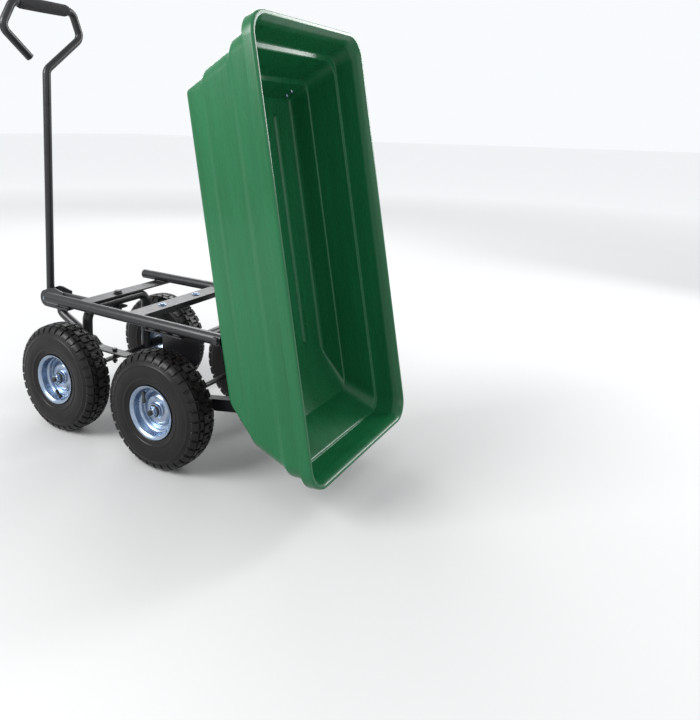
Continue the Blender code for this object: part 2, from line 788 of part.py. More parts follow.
# ---- tub and its steelwork, drawn level from the hinge ------------------------------------
def tub_ring(height, front, rear, half, radius):
    corners = [
        (front - radius, half - radius, 0),
        (rear + radius, half - radius, 90),
        (rear + radius, -half + radius, 180),
        (front - radius, -half + radius, 270),
    ]
    ring = []
    for cx, cy, start in corners:
        for i in range(CORNER_STEPS + 1):
            angle = math.radians(start + 90 * i / CORNER_STEPS)
            ring.append((cx + radius * math.cos(angle), cy + radius * math.sin(angle), height))
    return ring


def tub_inner_levels():
    """Inside surface: the outer levels drawn in by the wall and lifted by the floor."""
    levels = []
    for height, front, rear, half, radius in TUB_OUTER[::-1]:
        lift = TUB_WALL if height < 0.03 else 0.0030
        inset = TUB_WALL
        levels.append((height + lift, front - inset, rear + inset, half - inset, radius - inset))
    return levels


def front_wall_a(height):
    """Outer face of the tub's front wall at a height in its lowest panel."""
    low_b, low_a = TUB_OUTER[2][0], TUB_OUTER[2][1]
    high_b, high_a = TUB_OUTER[3][0], TUB_OUTER[3][1]
    return low_a + (high_a - low_a) * (height - low_b) / (high_b - low_b)


def front_wall_inner_a(height):
    """Inside face of the same panel."""
    lift = 0.0030
    rise = (height - TUB_OUTER[2][0] - TUB_WALL) / (TUB_OUTER[3][0] + lift - TUB_OUTER[2][0] - TUB_WALL)
    return TUB_OUTER[2][1] - TUB_WALL + (TUB_OUTER[3][1] - TUB_OUTER[2][1]) * rise


def build_tub(pivot):
    levels = TUB_OUTER + TUB_RIM + tub_inner_levels()
    tub = loft("tub", [tub_ring(*level) for level in levels], green_plastic())
    floor_top = TUB_OUTER[0][0] + TUB_WALL
    for i in range(RIB_COUNT):
        y = (i - (RIB_COUNT - 1) / 2) * RIB_PITCH
        outline = [
            (y - RIB_HALF_WIDTH, floor_top - 0.002),
            (y + RIB_HALF_WIDTH, floor_top - 0.002),
            (y + RIB_HALF_WIDTH - 0.004, floor_top + RIB_HEIGHT),
            (y - RIB_HALF_WIDTH + 0.004, floor_top + RIB_HEIGHT),
        ]
        rib = loft("rib", [[(x, ry, rz) for ry, rz in outline] for x in (-0.085, 0.455)], green_plastic())
        combine(tub, rib, "UNION")
    for sign in (1, -1):
        for height in BOLT_HEIGHTS:
            drill(tub, (0.50, sign * BOLT_Y, height), (1, 0, 0), 0.0034, 0.06, 10)
    smooth(tub, 28)
    shifted(tub, pivot)


def build_tub_bar(side, sign, pivot):
    """Flat bar under the floor with a hinge ear, a turned-up front tab and a stop leg."""
    low = BAR_TOP - BAR_THICK
    name = "tub_bar_" + side
    front = 0.4720
    outline = [
        (LEG_REAR_A, sign * LEG_INNER_Y),
        (LEG_FRONT_A, sign * LEG_INNER_Y),
        (LEG_FRONT_A + 0.032, sign * BAR_INNER_Y),
        (front, sign * BAR_INNER_Y),
        (front, sign * BAR_OUTER_Y),
        (LEG_REAR_A, sign * BAR_OUTER_Y),
    ]
    bar = prism_z(name, outline, low, BAR_TOP, black_paint())
    ear_y = sorted((sign * 0.1480, sign * 0.1530))
    ear_outline = arc((0, 0), 0.0135, 180, 360, 8) + [(0.0220, low + 0.001), (-0.0220, low + 0.001)]
    ear = prism_y("ear", ear_outline, ear_y[0], ear_y[1], black_paint())
    combine(bar, ear, "UNION")
    leg_y = sorted((sign * LEG_INNER_Y, sign * LEG_OUTER_Y))
    leg = box("leg", (LEG_REAR_A, leg_y[0], LEG_TIP_B), (LEG_FRONT_A, leg_y[1], BAR_TOP - 0.001), black_paint())
    combine(bar, leg, "UNION")
    drill(bar, (0, sign * 0.15, 0), (0, 1, 0), HINGE_BOLT_R + GAP, 0.02)
    shifted(bar, pivot)
    foot = box(
        "stop_foot_" + side,
        (LEG_REAR_A - 0.001, leg_y[0] - 0.001, FOOT_TIP_B),
        (LEG_FRONT_A + 0.001, leg_y[1] + 0.001, LEG_TIP_B - GAP),
        soft_rubber(),
    )
    shifted(foot, pivot)


def build_tub_bolts(pivot):
    number = 0
    for sign in (1, -1):
        for height, tip in zip(BOLT_HEIGHTS, BOLT_TIPS):
            number += 1
            inside = front_wall_inner_a(height - BOLT_HEAD_R) - GAP
            base = (inside - 0.0026, sign * BOLT_Y, height)
            outside = front_wall_a(height + BOLT_HEAD_R) + GAP - base[0]
            bolt = turned("tub_bolt_%d" % number, base, (1, 0, 0), [
                (0.0, 0.0030, "round"),
                (0.0015, BOLT_HEAD_R - 0.0008, "round"),
                (0.0026, BOLT_HEAD_R, "round"),
                (0.0026, 0.0030, "round"),
                (outside, 0.0030, "round"),
                (outside, BOLT_HEAD_R, "hex"),
                (outside + 0.0050, BOLT_HEAD_R - 0.0002, "hex"),
                (outside + 0.0050, 0.0030, "round"),
                (tip - base[0], 0.0028, "round"),
            ], zinc_steel())
            shifted(bolt, pivot)


def build_latch(pivot):
    """Plate and cheeks on the tub's front wall, the lever with its hook turned open, and its pin."""
    low_b = 0.0260
    high_b = 0.0540
    plate_outline = [
        (front_wall_a(low_b) + GAP, low_b),
        (front_wall_a(low_b) + 0.0030, low_b),
        (front_wall_a(high_b) + 0.0030, high_b),
        (front_wall_a(high_b) + GAP, high_b),
    ]
    plate = prism_y("latch_bracket", plate_outline, -0.0320, 0.0320, black_paint())
    cheek_outline = [
        (front_wall_a(low_b) + 0.0010, low_b),
        (front_wall_a(0.0180) + 0.0060, 0.0100),
    ]
    cheek_outline += arc((LATCH_PIVOT_A, LATCH_PIVOT_B), 0.0080, 200, 370, 6)
    cheek_outline += [(LATCH_PIVOT_A + 0.0080, 0.0220), (front_wall_a(0.048) + 0.0020, 0.0480)]
    for y0, y1 in ((0.0100, 0.0130), (-0.0130, -0.0100)):
        cheek = prism_y("cheek", cheek_outline, y0, y1, black_paint())
        combine(plate, cheek, "UNION")
    drill(plate, (LATCH_PIVOT_A, 0, LATCH_PIVOT_B), (0, 1, 0), 0.0033, 0.04)
    shifted(plate, pivot)
    lever_outline = [
        (-0.0080, 0.0030),
        (-0.0070, -0.0250),
        (-0.0385, -0.0250),
        (-0.0400, -0.0290),
        (-0.0355, -0.0340),
        (0.0000, -0.0340),
        (0.0060, -0.0280),
        (0.0080, -0.0030),
        (0.0300, -0.0060),
        (0.0420, -0.0020),
        (0.0440, 0.0030),
        (0.0300, 0.0040),
        (0.0080, 0.0085),
        (0.0000, 0.0095),
    ]
    lever = prism_y("latch_lever", lever_outline, -LATCH_HALF_Y, LATCH_HALF_Y, black_paint())
    drill(lever, (0, 0, 0), (0, 1, 0), 0.0033, 0.04)
    shifted(lever, pivot, (LATCH_PIVOT_A, 0, LATCH_PIVOT_B))
    lever.rotation_euler = (0, math.radians(-LATCH_OPEN_DEG), 0)
    pin = turned("latch_pin", (0, 0.0165, 0), (0, -1, 0), [
        (0.0, 0.0055, "round"),
        (0.0030, 0.0055, "round"),
        (0.0030, 0.0030, "round"),
        (0.0310, 0.0030, "round"),
    ], zinc_steel())
    shifted(pin, pivot, (LATCH_PIVOT_A, 0, LATCH_PIVOT_B))


def build_tub_group():
    pivot = bpy.data.objects.new("tub_pivot", None)
    bpy.context.scene.collection.objects.link(pivot)
    pivot.location = (HINGE_X, 0, HINGE_Z)
    pivot.rotation_euler = (0, math.radians(-TIP_DEG), 0)
    build_tub(pivot)
    build_tub_bar("left", 1, pivot)
    build_tub_bar("right", -1, pivot)
    build_tub_bolts(pivot)
    build_latch(pivot)


def main():
    for obj in list(bpy.data.objects):
        bpy.data.objects.remove(obj)
    build_frame()
    build_steering()
    build_handle()
    build_tub_group()
    for corner, x, sign in (
        ("front_left", FRONT_AXLE_X, 1),
        ("front_right", FRONT_AXLE_X, -1),
        ("rear_left", REAR_AXLE_X, 1),
        ("rear_right", REAR_AXLE_X, -1),
    ):
        build_wheel(corner, x, sign)
    bpy.context.view_layer.update()


main()
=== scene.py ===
"""Looks of the tipping garden cart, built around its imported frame.

Metres, +X forward, +Y to the cart's left, +Z up. Round and moulded pieces are rebuilt smoothly in
place of their faceted solids. Flat sheet metal and a few small pieces keep their solids, with
softened edges.
"""
import json
import math

import bpy
from mathutils import Matrix, Vector


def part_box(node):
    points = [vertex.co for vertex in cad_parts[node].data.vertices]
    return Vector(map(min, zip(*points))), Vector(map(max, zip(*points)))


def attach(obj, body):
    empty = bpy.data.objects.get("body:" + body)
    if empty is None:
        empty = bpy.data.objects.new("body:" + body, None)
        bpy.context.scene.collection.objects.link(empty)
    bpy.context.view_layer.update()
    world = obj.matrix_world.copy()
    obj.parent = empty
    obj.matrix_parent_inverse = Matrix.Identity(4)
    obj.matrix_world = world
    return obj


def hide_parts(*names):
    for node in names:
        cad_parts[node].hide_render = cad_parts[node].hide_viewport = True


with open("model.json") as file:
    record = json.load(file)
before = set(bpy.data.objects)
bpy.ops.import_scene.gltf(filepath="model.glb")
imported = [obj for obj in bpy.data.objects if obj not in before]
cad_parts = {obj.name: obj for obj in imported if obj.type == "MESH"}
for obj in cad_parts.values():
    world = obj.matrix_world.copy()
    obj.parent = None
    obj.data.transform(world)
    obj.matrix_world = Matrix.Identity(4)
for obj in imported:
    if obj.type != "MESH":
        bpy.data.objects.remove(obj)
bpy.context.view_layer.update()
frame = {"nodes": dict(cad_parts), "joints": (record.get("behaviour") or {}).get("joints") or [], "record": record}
NODES = frame["nodes"]
JOINTS = {joint["name"]: joint for joint in frame["joints"]}
BODY_OF = {
    node: body
    for body, members in frame["record"]["behaviour"]["bodies"].items()
    for node in members
}
SLOT_OF = {part["node"]: part["material_slot"] for part in frame["record"]["subparts"]}

# ---- camera -------------------------------------------------------------------------------
CAMERA_PLACE = (-1.0023, 1.1945, 0.7363)
CAMERA_YAW_DEG = -55.25
CAMERA_PITCH_DEG = 9.88
CAMERA_ROLL_DEG = 1.13
CAMERA_LENS_MM = 33.2
CAMERA_SHIFT = (0.1528, -0.1667)

# ---- tubes and frame ----------------------------------------------------------------------
TUBE_R = 0.0125
TUBE_BORE_R = 0.0107
TUBE_SIDES = 32
FORK_LEG_Y = 0.105
FORK_FOOT_Z = 0.112
FORK_BEND_R = 0.032
RAIL_Y = 0.171
CAP_PLAY = 0.0004
CAP_REACH = 0.0002
PLATE_HALF = 0.0025
SHEET_EDGE = 0.0007
SMALL_EDGE = 0.0003
HANDLE_R = 0.0110
HANDLE_BORE_R = 0.0094
HANDLE_LEAN_DEG = -1.0
HANDLE_BEND_R = 0.024
GRIP_R = 0.0160
GRIP_HEIGHT = 0.784
GRIP_MIDDLE_Y = 0.007
GRIP_HALF = 0.078
GRIP_ROLL = 0.0022
GRIP_SWELL = 0.0006
GRIP_MOUTH = 0.0028

# ---- wheels -------------------------------------------------------------------------------
WHEEL_SEGMENTS = 96
LUG_COUNT = 36
LUG_HEIGHT = 0.0044
LUG_STEPS = (0.0, 0.05, 0.27, 0.32, 0.50, 0.55, 0.77, 0.82)
LUG_LEAN_START = 0.022
LUG_LEAN_SPAN = 0.012
LUG_LEAN_RAD = 0.9
VALVE_ANGLE_DEG = {"front": -102.0, "rear": 51.0}
VALVE_BASE_R = 0.0464
VALVE_BASE_Y = 0.0215
VALVE_LEAN = 0.55

# ---- fasteners and welds ------------------------------------------------------------------
AXLE_R = 0.006
BOLT_R = 0.004
RUNNING_FIT = 0.0002
THREAD_DEPTH = 0.00045
THREAD_PITCH = 0.00125
AXLE_THREAD = 0.016
SMALL_HEAD = (0.0075, 0.0052)
TURNED_SIDES = 36
WELD_R = 0.0024
BAR_WELD_R = 0.0026
WELD_RIPPLE = 0.0024
WELD_SIDES = 12
WELD_EDGE = 0.0058
HANGER_WELD_LENGTH = 0.022
HANGER_WELD_PITCH = 0.034

# ---- tub, level, measured from its hinge: height, front, rear, half width, corner radius ----
TUB_OUTER = [
    (0.0158, 0.4690, -0.0920, 0.1660, 0.0030),
    (0.0158, 0.4890, -0.1120, 0.1860, 0.0080),
    (0.0185, 0.4940, -0.1225, 0.1905, 0.0110),
    (0.0240, 0.4965, -0.1360, 0.1925, 0.0140),
    (0.0560, 0.5120, -0.1930, 0.1940, 0.0240),
    (0.0660, 0.5270, -0.2130, 0.1975, 0.0340),
    (0.1270, 0.5500, -0.2500, 0.1995, 0.0360),
    (0.1390, 0.5650, -0.2610, 0.2045, 0.0380),
    (0.1800, 0.5785, -0.2650, 0.2070, 0.0400),
]
TUB_RIM = [
    (0.1890, 0.5850, -0.2690, 0.2110, 0.0410),
    (0.1955, 0.5895, -0.2705, 0.2145, 0.0430),
    (0.1960, 0.5920, -0.2712, 0.2170, 0.0450),
    (0.1790, 0.5935, -0.2720, 0.2180, 0.0460),
    (0.1785, 0.5965, -0.2740, 0.2205, 0.0480),
    (0.1985, 0.5990, -0.2750, 0.2210, 0.0490),
    (0.2030, 0.5970, -0.2740, 0.2192, 0.0480),
    (0.2030, 0.5900, -0.2690, 0.2135, 0.0438),
    (0.2000, 0.5872, -0.2665, 0.2108, 0.0415),
]
TUB_INNER = [
    (0.1930, 0.5815, -0.2640, 0.2065, 0.0385),
    (0.1830, 0.5760, -0.2612, 0.2035, 0.0365),
    (0.1430, 0.5625, -0.2565, 0.2008, 0.0345),
    (0.1415, 0.5500, -0.2520, 0.1957, 0.0320),
    (0.0705, 0.5232, -0.2095, 0.1934, 0.0300),
    (0.0690, 0.5122, -0.2060, 0.1903, 0.0215),
    (0.0282, 0.4923, -0.1318, 0.1883, 0.0098),
    (0.0227, 0.4898, -0.1183, 0.1863, 0.0068),
    (0.0200, 0.4848, -0.1078, 0.1818, 0.0038),
    (0.0200, 0.4648, -0.0878, 0.1618, 0.0020),
]
TUB_FLOOR_TOP = 0.0200
TUB_CORNER_STEPS = 14
TUB_EDGE_REACH = 0.0032
TUB_LIP_REACH = 0.0022
RIB_COUNT = 5
RIB_PITCH = 0.060
RIB_HALF_WIDTH = 0.013
RIB_HEIGHT = 0.004
RIB_ENDS = (-0.085, 0.455)

# ---- stage --------------------------------------------------------------------------------
FLOOR_HALF = 30.0
CART_MIDDLE = (0.0, 0.0, 0.4)
TUB_LEDGES = (-0.45, 0.0, 0.9)
SOFT_LIGHT = (1.6, 1.6)
STRIP_LIGHT = (0.6, 1.2)


# ---- material helpers ---------------------------------------------------------------------
def start_material(name, roughness, metallic=0.0):
    mat = bpy.data.materials.new(name)
    mat.use_nodes = True
    shader = mat.node_tree.nodes["Principled BSDF"]
    shader.inputs["Roughness"].default_value = roughness
    shader.inputs["Metallic"].default_value = metallic
    return mat, mat.node_tree, shader


def place_vector(tree, stretch=(1.0, 1.0, 1.0)):
    """Object coordinates in metres, stretched along the axes."""
    coordinates = tree.nodes.new("ShaderNodeTexCoord")
    mapping = tree.nodes.new("ShaderNodeMapping")
    mapping.inputs["Scale"].default_value = stretch
    tree.links.new(coordinates.outputs["Object"], mapping.inputs["Vector"])
    return mapping.outputs["Vector"]


def noise(tree, vector, scale, detail=4.0, roughness=0.55):
    texture = tree.nodes.new("ShaderNodeTexNoise")
    texture.inputs["Scale"].default_value = scale
    texture.inputs["Detail"].default_value = detail
    texture.inputs["Roughness"].default_value = roughness
    tree.links.new(vector, texture.inputs["Vector"])
    return texture.outputs["Fac"]


def cells(tree, vector, scale):
    """Distance to the nearest of scattered points: round cells."""
    texture = tree.nodes.new("ShaderNodeTexVoronoi")
    texture.inputs["Scale"].default_value = scale
    tree.links.new(vector, texture.inputs["Vector"])
    return texture.outputs["Distance"]


def ramp(tree, factor, stops):
    """Colours or grey values blended along a factor: stops are (place, colour or number)."""
    node = tree.nodes.new("ShaderNodeValToRGB")
    band = node.color_ramp
    while len(band.elements) < len(stops):
        band.elements.new(0.5)
    for element, (place, value) in zip(band.elements, stops):
        element.position = place
        colour = value if isinstance(value, tuple) else (value, value, value)
        element.color = (*colour, 1.0)
    tree.links.new(factor, node.inputs["Fac"])
    return node.outputs["Color"]


def multiply_colours(tree, first, second):
    node = tree.nodes.new("ShaderNodeMix")
    node.data_type = "RGBA"
    node.blend_type = "MULTIPLY"
    node.inputs["Factor"].default_value = 1.0
    tree.links.new(first, node.inputs["A"])
    tree.links.new(second, node.inputs["B"])
    return node.outputs["Result"]


def bump(tree, height, strength, distance, normal=None):
    node = tree.nodes.new("ShaderNodeBump")
    node.inputs["Strength"].default_value = strength
    node.inputs["Distance"].default_value = distance
    tree.links.new(height, node.inputs["Height"])
    if normal is not None:
        tree.links.new(normal, node.inputs["Normal"])
    return node.outputs["Normal"]


def finish_material(tree, shader, colour, roughness, normal):
    tree.links.new(colour, shader.inputs["Base Color"])
    tree.links.new(roughness, shader.inputs["Roughness"])
    tree.links.new(normal, shader.inputs["Normal"])


# ---- materials ----------------------------------------------------------------------------
def green_plastic():
    """Moulded polyethylene: faint flow streaks along the tub, orange peel and light scuffs."""
    mat, tree, shader = start_material("green_plastic_look", 0.36)
    shader.inputs["Specular IOR Level"].default_value = 0.32
    place = place_vector(tree)
    streaks = noise(tree, place_vector(tree, (1.2, 16.0, 16.0)), 2.2, 3.0)
    clouds = noise(tree, place, 5.0, 3.0)
    streak_colour = ramp(tree, streaks, [(0.30, (0.0050, 0.085, 0.028)),
                                         (0.70, (0.0075, 0.106, 0.039))])
    cloud_colour = ramp(tree, clouds, [(0.30, (0.86, 0.90, 0.86)), (0.70, (1.0, 1.0, 1.0))])
    colour = multiply_colours(tree, streak_colour, cloud_colour)
    scuffs = noise(tree, place_vector(tree, (6.0, 60.0, 60.0)), 9.0, 6.0, 0.7)
    roughness = ramp(tree, scuffs, [(0.35, 0.24), (0.58, 0.30), (0.72, 0.42)])
    peel = bump(tree, noise(tree, place, 620.0, 2.0), 0.10, 0.0004)
    wave = bump(tree, noise(tree, place, 18.0, 2.0), 0.10, 0.0020, peel)
    finish_material(tree, shader, colour, roughness, wave)
    return mat


def black_paint():
    """Satin powder coat with a fine texture and a little dust."""
    mat, tree, shader = start_material("black_paint_look", 0.36)
    shader.inputs["Specular IOR Level"].default_value = 0.42
    place = place_vector(tree)
    dust = noise(tree, place, 22.0, 6.0, 0.65)
    colour = ramp(tree, dust, [(0.35, (0.0070, 0.0072, 0.0085)), (0.62, (0.0105, 0.0107, 0.0120)),
                               (0.80, (0.0190, 0.0185, 0.0185))])
    roughness = ramp(tree, noise(tree, place, 60.0, 4.0), [(0.30, 0.27), (0.75, 0.40)])
    grain = bump(tree, noise(tree, place, 1100.0, 2.0), 0.16, 0.0003)
    finish_material(tree, shader, colour, roughness, grain)
    return mat


def zinc_steel():
    """Zinc plate with a blue cast, paler stains, shallow dents and a fine grain."""
    mat, tree, shader = start_material("zinc_steel_look", 0.28, 1.0)
    place = place_vector(tree)
    stains = noise(tree, place, 34.0, 4.0, 0.6)
    colour = ramp(tree, stains, [(0.28, (0.21, 0.29, 0.40)), (0.50, (0.28, 0.35, 0.46)),
                                 (0.66, (0.36, 0.41, 0.48)), (0.80, (0.40, 0.43, 0.44))])
    roughness = ramp(tree, noise(tree, place, 90.0, 5.0, 0.7), [(0.30, 0.24), (0.75, 0.36)])
    dents = bump(tree, noise(tree, place, 26.0, 2.0), 0.10, 0.0010)
    grain = bump(tree, noise(tree, place, 900.0, 2.0), 0.06, 0.0002, dents)
    finish_material(tree, shader, colour, roughness, grain)
    return mat


def tyre_rubber():
    """Dark rubber, slightly shiny, with a faint bloom and a fine moulding texture."""
    mat, tree, shader = start_material("tyre_rubber_look", 0.60)
    shader.inputs["Specular IOR Level"].default_value = 0.20
    place = place_vector(tree)
    bloom = noise(tree, place, 28.0, 6.0, 0.65)
    colour = ramp(tree, bloom, [(0.32, (0.0060, 0.0054, 0.0054)), (0.60, (0.0088, 0.0078, 0.0074)),
                                (0.80, (0.0150, 0.0132, 0.0120))])
    roughness = ramp(tree, noise(tree, place, 45.0, 5.0, 0.7), [(0.30, 0.27), (0.75, 0.46)])
    coarse = bump(tree, noise(tree, place, 240.0, 4.0), 0.18, 0.0004)
    grain = bump(tree, noise(tree, place, 1300.0, 2.0), 0.15, 0.0002, coarse)
    finish_material(tree, shader, colour, roughness, grain)
    return mat


def plain_black(name, dark, light, rough_low, rough_high, grain_scale, grain_strength):
    """Matt black moulding with its own grain."""
    mat, tree, shader = start_material(name, rough_high)
    place = place_vector(tree)
    colour = ramp(tree, noise(tree, place, 40.0, 5.0), [(0.30, dark), (0.75, light)])
    roughness = ramp(tree, noise(tree, place, 80.0, 4.0), [(0.30, rough_low), (0.75, rough_high)])
    grain = bump(tree, noise(tree, place, grain_scale, 3.0), grain_strength, 0.0003)
    finish_material(tree, shader, colour, roughness, grain)
    return mat


def grip_foam():
    """Closed-cell foam: small round cells with painted shade in their sunken middles, and a dry surface."""
    mat, tree, shader = start_material("grip_foam_look", 0.90)
    place = place_vector(tree)
    pores = cells(tree, place, 620.0)
    # Painted shade: the colour darkens towards each cell's middle, where the bump sinks it.
    colour = ramp(tree, pores, [(0.05, (0.006, 0.006, 0.007)), (0.45, (0.018, 0.018, 0.020))])
    roughness = ramp(tree, noise(tree, place, 120.0, 3.0), [(0.3, 0.80), (0.7, 0.97)])
    finish_material(tree, shader, colour, roughness, bump(tree, pores, 0.55, 0.0006))
    return mat


def floor_material():
    """A pale floor with painted shade: light grey under the cart, paler further out."""
    mat, tree, shader = start_material("floor_look", 0.75)
    floor_shade_gradient = tree.nodes.new("ShaderNodeTexGradient")
    floor_shade_gradient.gradient_type = "SPHERICAL"
    tree.links.new(place_vector(tree, (0.16, 0.16, 0.16)), floor_shade_gradient.inputs["Vector"])
    # Painted shade: the floor's colour is greyest under the cart and pales outwards.
    colour = ramp(tree, floor_shade_gradient.outputs["Fac"], [(0.0, 0.92), (0.40, 0.70), (0.92, 0.46)])
    tree.links.new(colour, shader.inputs["Base Color"])
    return mat


LOOKS = {
    "green_plastic": green_plastic(),
    "black_paint": black_paint(),
    "zinc_steel": zinc_steel(),
    "tyre_rubber": tyre_rubber(),
    "soft_rubber": plain_black("soft_rubber_look", (0.008,) * 3, (0.015,) * 3, 0.62, 0.85,
                               700.0, 0.25),
    "black_plastic": plain_black("black_plastic_look", (0.006,) * 3, (0.012,) * 3, 0.38, 0.55,
                                 1500.0, 0.30),
    "grip_foam": grip_foam(),
}


# ---- mesh helpers -------------------------------------------------------------------------
def add_piece(name, points, faces, slot, body, smooth_deg=35.0, place=None):
    """A finished piece: its mesh, its look, and the body that it rides on."""
    mesh = bpy.data.meshes.new(name)
    mesh.from_pydata([tuple(p) for p in points], [], faces)
    mesh.validate()
    piece = bpy.data.objects.new(name, mesh)
    bpy.context.scene.collection.objects.link(piece)
    if place is not None:
        piece.matrix_world = place
    mesh.materials.append(LOOKS[slot])
    mesh.shade_smooth()
    mesh.set_sharp_from_angle(angle=math.radians(smooth_deg))
    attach(piece, body)
    return piece


def skin(rings, closed=False):
    """Points and faces of a skin through rings of equal count; open skins get end caps."""
    count = len(rings[0])
    points = [point for ring in rings for point in ring]
    faces = []
    spans = len(rings) if closed else len(rings) - 1
    for i in range(spans):
        a = i * count
        b = ((i + 1) % len(rings)) * count
        for j in range(count):
            k = (j + 1) % count
            faces.append((a + j, a + k, b + k, b + j))
    if not closed:
        faces.append(tuple(range(count))[::-1])
        faces.append(tuple(range(len(points) - count, len(points))))
    return points, faces


def signed_volume(points, faces):
    """Six times the volume inside the faces: negative when they face inwards."""
    total = 0.0
    for face in faces:
        a = Vector(points[face[0]])
        for i in range(1, len(face) - 1):
            total += a.dot(Vector(points[face[i]]).cross(Vector(points[face[i + 1]])))
    return total


def skin_piece(name, rings, slot, body, closed=False, smooth_deg=35.0, place=None):
    """A piece from a skin of rings, turned right side out."""
    points, faces = skin(rings, closed)
    if signed_volume(points, faces) < 0:
        faces = [face[::-1] for face in faces]
    return add_piece(name, points, faces, slot, body, smooth_deg, place)


def axis_frame(axis):
    """An axis's unit vector with two others square to it."""
    axis = Vector(axis).normalized()
    helper = Vector((0, 0, 1)) if abs(axis.z) < 0.9 else Vector((1, 0, 0))
    side = helper.cross(axis).normalized()
    return axis, side, axis.cross(side)


def ring_round(centre, axis, radius):
    _, side, up = axis_frame(axis)
    angles = [math.tau * i / TURNED_SIDES for i in range(TURNED_SIDES)]
    return [Vector(centre) + radius * (side * math.cos(a) + up * math.sin(a)) for a in angles]


def ring_hex(centre, axis, radius):
    """A hexagon with as many points as a round ring, so that the two can be joined."""
    _, side, up = axis_frame(axis)
    ring = []
    for i in range(TURNED_SIDES):
        angle = math.tau * i / TURNED_SIDES
        within = angle % (math.pi / 3) - math.pi / 6
        reach = radius * math.cos(math.pi / 6) / math.cos(within)
        ring.append(Vector(centre) + reach * (side * math.cos(angle) + up * math.sin(angle)))
    return ring


def round_corners(points, reach, steps=4):
    """Soften each corner of an open line of points of any dimension."""
    points = [list(map(float, p)) for p in points]
    made = [points[0]]
    for before, here, after in zip(points, points[1:], points[2:]):
        gap_in = math.dist(before, here)
        gap_out = math.dist(here, after)
        cut_in = min(reach, 0.45 * gap_in) / gap_in
        cut_out = min(reach, 0.45 * gap_out) / gap_out
        start = [h + (b - h) * cut_in for h, b in zip(here, before)]
        end = [h + (a - h) * cut_out for h, a in zip(here, after)]
        for k in range(steps + 1):
            t = k / steps
            made.append([
                (1 - t) ** 2 * s + 2 * t * (1 - t) * h + t * t * e
                for s, h, e in zip(start, here, end)
            ])
    made.append(points[-1])
    return made


def arc_path(corners, radius, steps):
    """Straight runs joined by arcs of one radius."""
    corners = [Vector(c) for c in corners]
    path = [corners[0]]
    for before, here, after in zip(corners, corners[1:], corners[2:]):
        back = (before - here).normalized()
        ahead = (after - here).normalized()
        half = back.angle(ahead) / 2
        centre = here + (back + ahead).normalized() * radius / math.sin(half)
        start = here + back * radius / math.tan(half) - centre
        end = here + ahead * radius / math.tan(half) - centre
        turn = start.angle(end)
        for k in range(steps + 1):
            t = k / steps
            mix = start * math.sin((1 - t) * turn) + end * math.sin(t * turn)
            path.append(centre + mix / math.sin(turn))
    path.append(corners[-1])
    return path


def path_rings(path, normal, radius, sides):
    """Circles square to a path in the plane with this normal; radius may be one per point."""
    rings = []
    normal = Vector(normal).normalized()
    for i, point in enumerate(path):
        before = path[max(i - 1, 0)]
        after = path[min(i + 1, len(path) - 1)]
        tangent = (after - before).normalized()
        side = tangent.cross(normal).normalized()
        reach = radius[i] if isinstance(radius, list) else radius
        angles = [math.tau * j / sides for j in range(sides)]
        rings.append([point + reach * (side * math.cos(a) + normal * math.sin(a)) for a in angles])
    return rings


def tube_piece(name, path, normal, radius, bore, body, place=None):
    """A hollow painted tube with both cut ends open."""
    path = [Vector(p) for p in path]
    outer = path_rings(path, normal, radius, TUBE_SIDES)
    inner = path_rings(path, normal, bore, TUBE_SIDES)
    return skin_piece(name, outer + inner[::-1], "black_paint", body, closed=True, place=place)


def turned_piece(name, start, axis, steps, slot, body):
    """A solid turned about an axis: steps are (distance, radius, 'round' or 'hex')."""
    direction = Vector(axis).normalized()
    rings = []
    for distance, radius, shape in steps:
        ring = ring_hex if shape == "hex" else ring_round
        rings.append(ring(Vector(start) + direction * distance, axis, radius))
    return skin_piece(name, rings, slot, body)


def revolved_piece(name, profile, centre, slot, body, segments=WHEEL_SEGMENTS, smooth_deg=35.0):
    """A closed (radius, y) outline turned about the Y axis through a centre."""
    rings = []
    for i in range(segments):
        angle = math.tau * i / segments
        rings.append([(r * math.sin(angle), y, -r * math.cos(angle)) for r, y in profile])
    place = Matrix.Translation(centre)
    return skin_piece(name, rings, slot, body, closed=True, smooth_deg=smooth_deg, place=place)


def weld_bead(name, start, end, radius, body):
    """A laid weld: overlapping ripples along a short straight seam."""
    start = Vector(start)
    end = Vector(end)
    length = (end - start).length
    count = max(8, int(length / WELD_RIPPLE * 5))
    path = []
    radii = []
    for i in range(count + 1):
        along = length * i / count
        wave = 0.5 + 0.5 * math.sin(math.tau * along / WELD_RIPPLE)
        taper = min(1.0, 4.0 * min(i + 0.6, count - i + 0.6) / count)
        path.append(start.lerp(end, i / count))
        radii.append(radius * (0.84 + 0.16 * wave) * taper)
    normal = axis_frame(end - start)[1]
    rings = path_rings(path, normal, radii, WELD_SIDES)
    skin_piece(name, rings, "black_paint", body, smooth_deg=60.0)


def soften_sheet(node, width):
    """Keep a flat-sided solid: join its facets, round its edges and give it its look."""
    piece = NODES[node]
    piece.data.materials.clear()
    piece.data.materials.append(LOOKS[SLOT_OF[node]])
    weld = piece.modifiers.new("weld", "WELD")
    weld.merge_threshold = 0.00001
    flatten = piece.modifiers.new("flatten", "DECIMATE")
    flatten.decimate_type = "DISSOLVE"
    flatten.angle_limit = math.radians(1.0)
    edge = piece.modifiers.new("edge", "BEVEL")
    edge.width = width
    edge.segments = 2
    edge.limit_method = "ANGLE"
    edge.angle_limit = math.radians(40.0)
    piece.modifiers.new("normals", "WEIGHTED_NORMAL")


